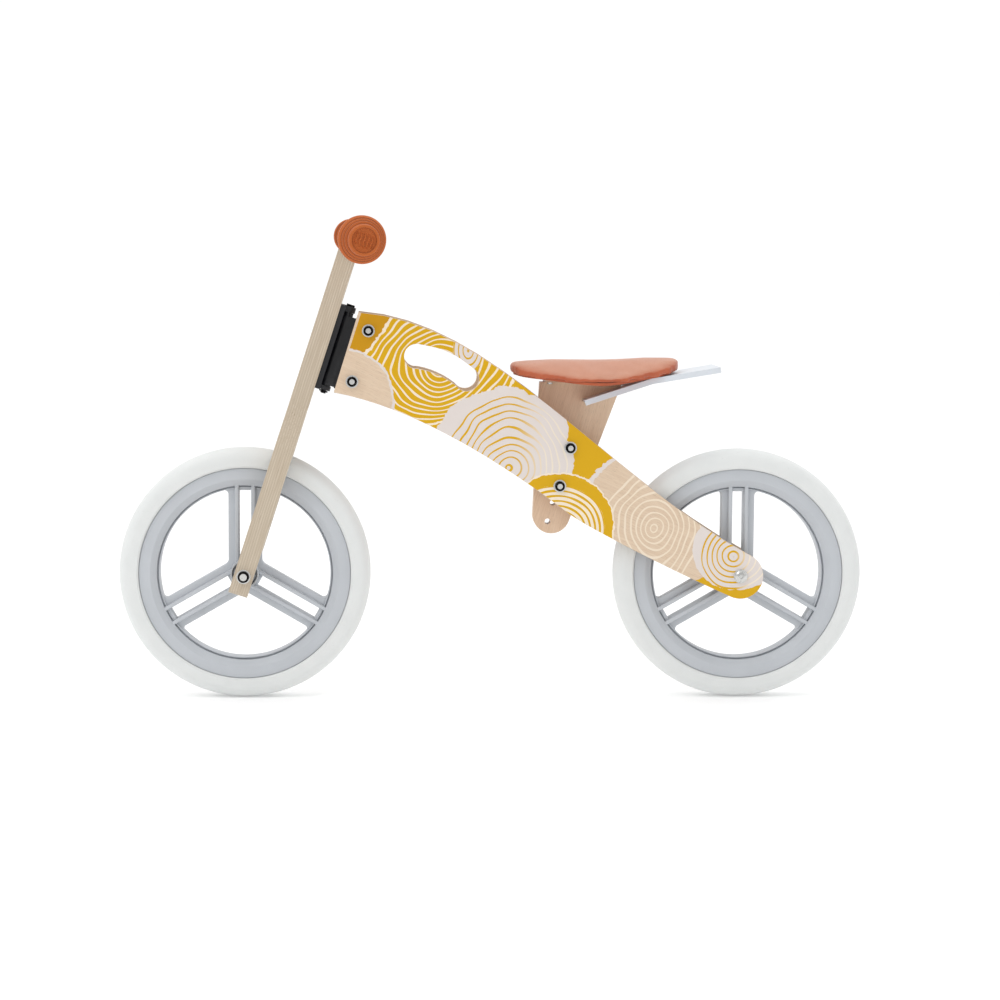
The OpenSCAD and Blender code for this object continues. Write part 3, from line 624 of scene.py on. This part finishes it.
def window():
    """Open space between two spoke pairs, with filleted corners. The first pair lies along +X."""
    near_rim = math.sqrt((RIM_OPEN - RIM_FILLET) ** 2 - (PAIR_HALF + RIM_FILLET) ** 2)
    lean = math.atan2(PAIR_HALF + RIM_FILLET, near_rim)
    third = math.radians(120)
    first = arc((near_rim, PAIR_HALF + RIM_FILLET), RIM_FILLET, -math.pi / 2, lean, 8)
    outer = arc((0, 0), RIM_OPEN, lean, third - lean, 40)[1:-1]
    second = turned([(x, -z) for x, z in reversed(first)], third)
    inner = ((PAIR_HALF + HUB_FILLET) / math.tan(third / 2), PAIR_HALF + HUB_FILLET)
    corner = arc(inner, HUB_FILLET, third + math.pi / 2, math.pi * 1.5, 8)
    return first + outer + second + corner


def slot_between():
    """Open space between the two bars of a pair, along +X."""
    half = GAP_HALF + 1
    end = math.sqrt(RIM_OPEN ** 2 - half ** 2)
    return rounded([(HUB_R + 1.5, -half), (end, -half), (end, half), (HUB_R + 1.5, half)], 2.5)


def wheel_plate(bm, place):
    """Web with its windows, black plates as painted shade in the pockets at the spoke ends, and the raised
    bars.
    """
    holes = []
    for turn in PAIR_TURNS:
        holes.append(turned(window(), turn))
        holes.append(turned(slot_between(), turn))
    plate(bm, [arc((0, 0), RIM_OPEN + 5, 0, 2 * math.pi, 120)[:-1]] + holes, WEB_HALF, place)
    for turn in PAIR_TURNS:
        # painted shade: black plates across each gap at the hub and rim ends stand in for the shadow in the
        # pockets there
        for low_s, high_s in ((HUB_R - 1, HUB_R + 3.2), (RIM_OPEN - 2.6, RIM_OPEN + 1)):
            start = len(bm.faces)
            plate(bm, [turned([(low_s, -GAP_HALF - 1), (high_s, -GAP_HALF - 1), (high_s, GAP_HALF + 1),
                               (low_s, GAP_HALF + 1)], turn)], SHADE_PLATE_HALF, place, 0.4)
            bm.faces.ensure_lookup_table()
            for face in bm.faces[start:]:
                face.material_index = 1
        for side in (-1, 1):
            low, high = sorted((side * GAP_HALF, side * (GAP_HALF + RIB_W)))
            bar = [(HUB_R - 6, low), (RIM_OPEN + 4, low), (RIM_OPEN + 4, high), (HUB_R - 6, high)]
            plate(bm, [turned(bar, turn)], RIB_HALF, place, 1.2)


def build_wheel(end):
    """One wheel's rim and tyre, in place of the CAD ones."""
    place = Matrix.Translation(WHEELS[end])

    def rim(bm):
        lathe(bm, rim_outline(), place)
        lathe(bm, hub_outline(), place, 96)
        wheel_plate(bm, place)
    wheel = add_piece(end + "_wheel_rim", mesh_from(end + "_wheel_rim", rim), end + "_rim")
    # second slot: black, for the painted-shade plates at the spoke ends
    wheel.data.materials.append(BLACK_PLASTIC)
    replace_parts(wheel, end + "_rim")

    def tyre(bm):
        lathe(bm, tyre_outline(), place, 256)
    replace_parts(add_piece(end + "_foam_tyre", mesh_from(end + "_foam_tyre", tyre), end + "_tyre"),
                end + "_tyre")


for end in WHEELS:
    build_wheel(end)


# ---------- wooden and moulded parts with rounded edges ----------

EDGE_ROUNDING = {
    "left_side_panel": 1.3, "right_side_panel": 1.3, "fork": 2.6, "seat_post": 1.4,
    "handlebar": 1.6, "mudguard": 0.7, "head_block": 1.2, "steering_bracket": 0.9,
}
for node, width in EDGE_ROUNDING.items():
    refined(node, width)

for node in nodes:
    mesh = nodes[node].data
    mesh.materials.clear()
    mesh.materials.append(finish_of(node))


# ---------- grips ----------

GRIP_FROM = 12.0
GRIP_END = 129.5
SLEEVE_R = 15.0
BORE_R = 10.05
BEAD_R = 19.3
FLANGE_R = 26
RECESS = 2.6
RIDGE_PITCH = 4.2


def grip_place(side):
    """Frame of one end of the handlebar, with its Y axis out along the bar."""
    bend = Matrix.Translation(Vector((BAR_MID[0], side * BAR_MID[1], BAR_MID[2])) * MM)
    sweep = Matrix.Rotation(-side * BAR_SWEEP, 4, "Z")
    return FORK_PLACE @ bend @ sweep @ Matrix.Diagonal((1, side, 1, 1))


def grip_outline():
    """Inner bead, ribbed sleeve, wide safety flange, two steps and a cap with a recessed face."""
    body = [(GRIP_FROM, BORE_R), (GRIP_FROM, BEAD_R), (GRIP_FROM + 4.5, BEAD_R), (GRIP_FROM + 7, SLEEVE_R)]
    rib = GRIP_FROM + 12
    while rib < 94:
        body += [(rib, SLEEVE_R), (rib + 1, SLEEVE_R + 0.9), (rib + 4, SLEEVE_R + 0.9), (rib + 5, SLEEVE_R)]
        rib += 8
    body += [(98, SLEEVE_R), (102, 20.5), (105.5, FLANGE_R), (110.2, FLANGE_R), (112.4, 24.2), (112.8, 22.7),
             (116.6, 22.5), (117.4, 20.2), (121, 20), (121.6, 17.4), (GRIP_END - 1.6, 17), (GRIP_END, 16),
             (GRIP_END, 13.4), (GRIP_END - RECESS, 12.6), (GRIP_END - RECESS, 0), (113, 0), (113, BORE_R)]
    return rounded(body, 0.9, 3)


def ridge(bm, place, offset):
    """One slightly S-shaped raised bar on the recessed face of a grip's end."""
    half = 8.6 * math.sqrt(1 - (offset / 12.5) ** 2)
    spine = [(offset + 0.9 * math.sin(math.pi * share), half * share) for share in
             [k / 6 for k in range(-6, 7)]]
    sides = 8
    rows = []
    for index, (x, z) in enumerate(spine):
        width = 1.05 * math.sqrt(max(0.0, 1 - (abs(index - 6) / 6) ** 6)) + 0.02
        rows.append([bm.verts.new(place @ Vector((
            (x - 0.22 * z + width * math.cos(2 * math.pi * k / sides)) * MM,
            (GRIP_END - 2.7 + width * 1.9 * math.sin(2 * math.pi * k / sides)) * MM, z * MM)))
            for k in range(sides)])
    for row, after in zip(rows, rows[1:]):
        for k in range(sides):
            bm.faces.new([row[k], row[(k + 1) % sides], after[(k + 1) % sides], after[k]])
    bm.faces.new(rows[0])
    bm.faces.new(list(reversed(rows[-1])))


for name, side in (("left_grip", -1), ("right_grip", 1)):
    def grip(bm):
        place = grip_place(side)
        lathe(bm, grip_outline(), place, 96)
        for step in range(-2, 3):
            ridge(bm, place, RIDGE_PITCH * step)
    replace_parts(add_piece(name + "_sleeve", mesh_from(name + "_sleeve", grip), name), name)


# ---------- seat ----------

WRAP = 3.4
SWELL = 3.0


def wrap_over_shell(mesh):
    """Pulls the cover's lower edge down round the moulded shell under it."""
    shell = nodes["seat_shell"].data
    tree = BVHTree.FromPolygons([v.co for v in shell.vertices], [p.vertices for p in shell.polygons])
    for vertex in mesh.vertices:
        nearest = tree.find_nearest(vertex.co)[0]
        beyond = min(1.0, max(0.0, (math.hypot(*(vertex.co - nearest).xy) / MM - 0.8) / 3.0))
        share = min(1.0, max(0.0, (0.3 - vertex.normal.z) / 0.9))
        vertex.co.z -= WRAP * MM * beyond * share * share * (3 - 2 * share)
    bm = bmesh.new()
    bm.from_mesh(mesh)
    bm.normal_update()
    lower = [vertex for vertex in bm.verts if vertex.normal.z < 0.35]
    for _ in range(14):
        bmesh.ops.smooth_vert(bm, verts=lower, factor=0.5, use_axis_x=True, use_axis_y=True,
                              use_axis_z=True)
    bm.to_mesh(mesh)
    bm.free()


def swollen_cushion():
    """The seat pad: remeshed, blown up a little by a cloth simulation, and smoothed."""
    mesh = nodes["seat_cushion"].data.copy()
    pad = add_piece("seat_pad", mesh, "seat_cushion")
    remesh = pad.modifiers.new("remesh", "REMESH")
    remesh.mode = "VOXEL"
    remesh.voxel_size = 3 * MM
    graph = bpy.context.evaluated_depsgraph_get()
    rest = bpy.data.meshes.new_from_object(pad.evaluated_get(graph))
    pad.modifiers.clear()
    pad.data = rest
    start = [vertex.co.copy() for vertex in rest.vertices]
    low = min(point.z for point in start)
    group = pad.vertex_groups.new(name="held")
    held = [i for i, vertex in enumerate(rest.vertices) if vertex.normal.z < -0.5]
    group.add(held, 1.0, "REPLACE")
    cloth = pad.modifiers.new("cloth", "CLOTH")
    cloth.settings.use_pressure = True
    cloth.settings.uniform_pressure_force = 4.0
    cloth.settings.effector_weights.gravity = 0.0
    cloth.settings.vertex_group_mass = "held"
    scene = bpy.context.scene
    for step in range(1, 21):
        scene.frame_set(step)
    graph = bpy.context.evaluated_depsgraph_get()
    blown = bpy.data.meshes.new_from_object(pad.evaluated_get(graph))
    for vertex, origin in zip(blown.vertices, start):
        move = vertex.co - origin
        if move.length > SWELL * MM:
            vertex.co = origin + move.normalized() * SWELL * MM
        vertex.co.z = max(vertex.co.z, low)
    pad.modifiers.clear()
    pad.vertex_groups.clear()
    pad.data = blown
    scene.frame_set(1)
    relax = pad.modifiers.new("relax", "SMOOTH")
    relax.iterations = 8
    finer = pad.modifiers.new("finer", "SUBSURF")
    finer.levels = 1
    finer.render_levels = 1
    graph = bpy.context.evaluated_depsgraph_get()
    final = bpy.data.meshes.new_from_object(pad.evaluated_get(graph))
    pad.modifiers.clear()
    pad.data = final
    wrap_over_shell(final)
    final.materials.clear()
    final.materials.append(SEAT_COVER)
    final.shade_smooth()
    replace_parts(pad, "seat_cushion")


swollen_cushion()


# ---------- camera, floor and light ----------

CAMERA_AT = Vector((-0.1323, -2.9741, 0.5057))
CAMERA_YAW = math.radians(2.716)
CAMERA_PITCH = math.radians(5.368)
CAMERA_ROLL = math.radians(0.387)
LENS_MM = 93.91


def make_camera():
    """Camera seen from the rider's left, slightly above and turned a little."""
    data = bpy.data.cameras.new("camera")
    data.sensor_width = 36
    data.lens = LENS_MM
    data.dof.use_dof = False
    camera = bpy.data.objects.new("camera", data)
    bpy.context.scene.collection.objects.link(camera)
    forward = Vector((math.sin(CAMERA_YAW) * math.cos(CAMERA_PITCH),
                      math.cos(CAMERA_YAW) * math.cos(CAMERA_PITCH), -math.sin(CAMERA_PITCH)))
    level = Vector((math.cos(CAMERA_YAW), -math.sin(CAMERA_YAW), 0))
    above = level.cross(forward)
    right = math.cos(CAMERA_ROLL) * level + math.sin(CAMERA_ROLL) * above
    up = -math.sin(CAMERA_ROLL) * level + math.cos(CAMERA_ROLL) * above
    turn = Matrix((right, up, -forward)).transposed()
    camera.matrix_world = Matrix.Translation(CAMERA_AT) @ turn.to_4x4()
    bpy.context.scene.camera = camera


def make_floor():
    """Plain pale floor."""
    mesh = bpy.data.meshes.new("floor")
    half = 30.0
    corners = [(-half, -half, 0), (half, -half, 0), (half, half, 0), (-half, half, 0)]
    mesh.from_pydata(corners, [], [(0, 1, 2, 3)])
    floor = bpy.data.objects.new("floor", mesh)
    bpy.context.scene.collection.objects.link(floor)
    s = Surface("pale_floor", roughness=0.6, specular=0.2)
    s.colour(s.mix(s.noise(400, 2), srgb(240, 240, 240), srgb(237, 237, 237)))
    s.shader.inputs["Emission Color"].default_value = (1, 1, 1, 1)
    s.shader.inputs["Emission Strength"].default_value = 0.2
    mesh.materials.append(s.material)


def area_light(name, at, aim, size, power):
    """Soft rectangular light."""
    data = bpy.data.lights.new(name, "AREA")
    data.shape = "RECTANGLE"
    data.size, data.size_y = size
    data.energy = power
    light = bpy.data.objects.new(name, data)
    bpy.context.scene.collection.objects.link(light)
    light.location = at
    light.rotation_euler = (Vector(aim) - Vector(at)).to_track_quat("-Z", "Y").to_euler()


def make_world():
    """Even white surroundings, dimmer in front of the bike."""
    world = bpy.data.worlds.new("studio")
    world.use_nodes = True
    tree = world.node_tree
    direction = tree.nodes.new("ShaderNodeTexCoord")
    split = tree.nodes.new("ShaderNodeSeparateXYZ")
    dim = tree.nodes.new("ShaderNodeMapRange")
    # the studio is darker in front of the bike, which gives metal and black plastic something to reflect
    for socket, number in zip(dim.inputs, (None, -0.95, -0.25, 0.55, 1.03)):
        if number is not None:
            socket.default_value = number
    tree.links.new(direction.outputs["Generated"], split.inputs[0])
    tree.links.new(split.outputs["Y"], dim.inputs[0])
    tree.links.new(dim.outputs[0], tree.nodes["Background"].inputs["Strength"])
    tree.nodes["Background"].inputs["Color"].default_value = (1, 1, 1, 1)
    bpy.context.scene.world = world


make_camera()
make_floor()
make_world()
area_light("key", (-1.6, -1.8, 2.6), (0, 0, 0.25), (1.8, 1.8), 21)
area_light("top", (0.4, 0.2, 2.6), (0, 0, 0.2), (2.4, 2.4), 12)
bpy.context.scene.view_settings.view_transform = "Standard"
